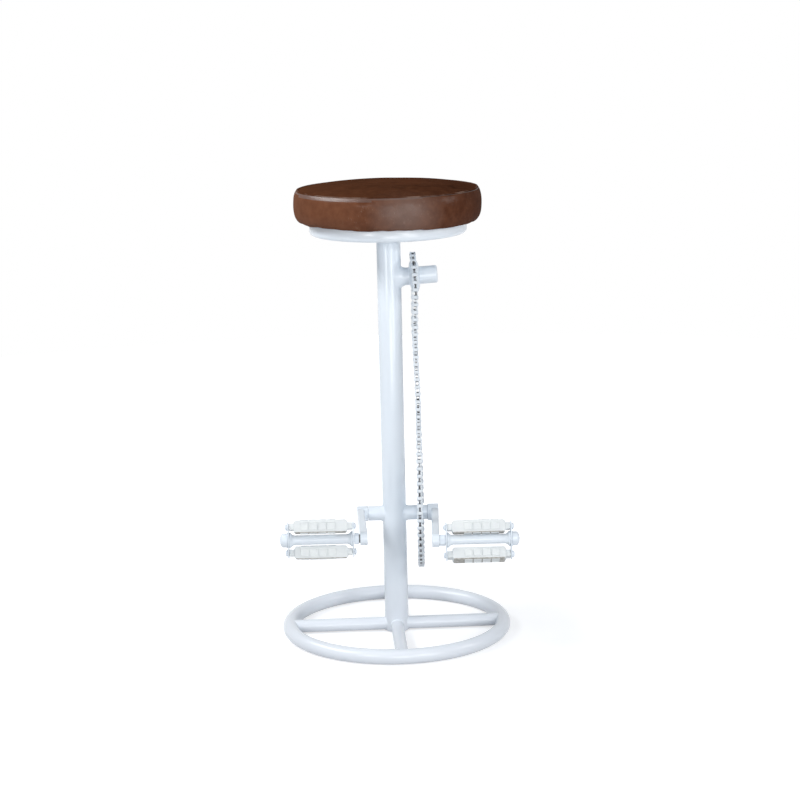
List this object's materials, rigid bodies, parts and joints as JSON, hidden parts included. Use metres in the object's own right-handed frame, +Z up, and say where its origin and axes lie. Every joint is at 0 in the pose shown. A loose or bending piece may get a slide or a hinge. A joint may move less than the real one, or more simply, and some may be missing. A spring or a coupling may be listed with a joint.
{
  "type": "bar stool",
  "caption": "Backless bar stool on a ring base, with a round leather cushion on one upright, a fixed bicycle chain drive at its side and turning block pedals as footrests.",
  "frame": {"origin": "on the floor, on the axis of the upright, at the middle of the base ring", "axes": "+Z up the upright, -Y to the front where the cranks point, +X to the chain side"},
  "size_m": [0.4062, 0.3998, 0.787],
  "materials": {
    "white_paint": "gloss white enamel",
    "chain_paint": "white enamel, worn at the joints",
    "brown_leather": "waxed brown leather",
    "white_rubber": "satin white rubber",
    "plywood": "bare plywood",
    "foam": "open cell foam",
    "zinc_steel": "zinc plated steel"
  },
  "bodies": {
    "frame": {"base_ring": "white_paint", "base_spoke_right": "white_paint", "base_spoke_rear": "white_paint", "base_spoke_left": "white_paint", "base_spoke_front": "white_paint", "column_tube": "white_paint", "seat_dish": "white_paint", "seat_board": "plywood", "leather_band": "brown_leather", "leather_top": "brown_leather", "seat_foam": "foam", "seat_screw_1": "zinc_steel", "seat_screw_2": "zinc_steel", "seat_screw_3": "zinc_steel", "seat_screw_4": "zinc_steel", "chain_lower_wrap": "chain_paint", "chain_rear_run": "chain_paint", "chain_upper_wrap": "chain_paint", "chain_front_run": "chain_paint", "chainring": "white_paint", "upper_sprocket": "white_paint", "hub_stub": "white_paint", "stub_end_cap": "white_paint", "crank_cross_tube": "white_paint", "crank_axle": "white_paint", "crank_left": "white_paint", "crank_right": "white_paint", "left_pedal_spindle": "white_paint", "left_pedal_cone_nut": "zinc_steel", "right_pedal_spindle": "white_paint", "right_pedal_cone_nut": "zinc_steel"},
    "pedal_left": {"left_pedal_barrel": "white_paint", "left_pedal_inner_bearing": "zinc_steel", "left_pedal_outer_bearing": "zinc_steel", "left_pedal_inner_plate": "white_paint", "left_pedal_outer_plate": "white_paint", "left_pedal_upper_block": "white_rubber", "left_pedal_lower_block": "white_rubber", "left_pedal_upper_bolt": "white_paint", "left_pedal_lower_bolt": "white_paint", "left_pedal_upper_nut": "white_paint", "left_pedal_lower_nut": "white_paint", "left_pedal_dust_cap": "white_paint"},
    "pedal_right": {"right_pedal_barrel": "white_paint", "right_pedal_inner_bearing": "zinc_steel", "right_pedal_outer_bearing": "zinc_steel", "right_pedal_inner_plate": "white_paint", "right_pedal_outer_plate": "white_paint", "right_pedal_upper_block": "white_rubber", "right_pedal_lower_block": "white_rubber", "right_pedal_upper_bolt": "white_paint", "right_pedal_lower_bolt": "white_paint", "right_pedal_upper_nut": "white_paint", "right_pedal_lower_nut": "white_paint", "right_pedal_dust_cap": "white_paint"}
  },
  "joints": [
    {"name": "pedal_left_spin", "type": "hinge", "parent": "frame", "child": "pedal_left", "pos_m": [-0.0603, -0.165, 0.21368], "axis": [1, 0, 0], "continuous": true},
    {"name": "pedal_right_spin", "type": "hinge", "parent": "frame", "child": "pedal_right", "pos_m": [0.072, -0.1649, 0.20703], "axis": [1, 0, 0], "continuous": true}
  ]
}
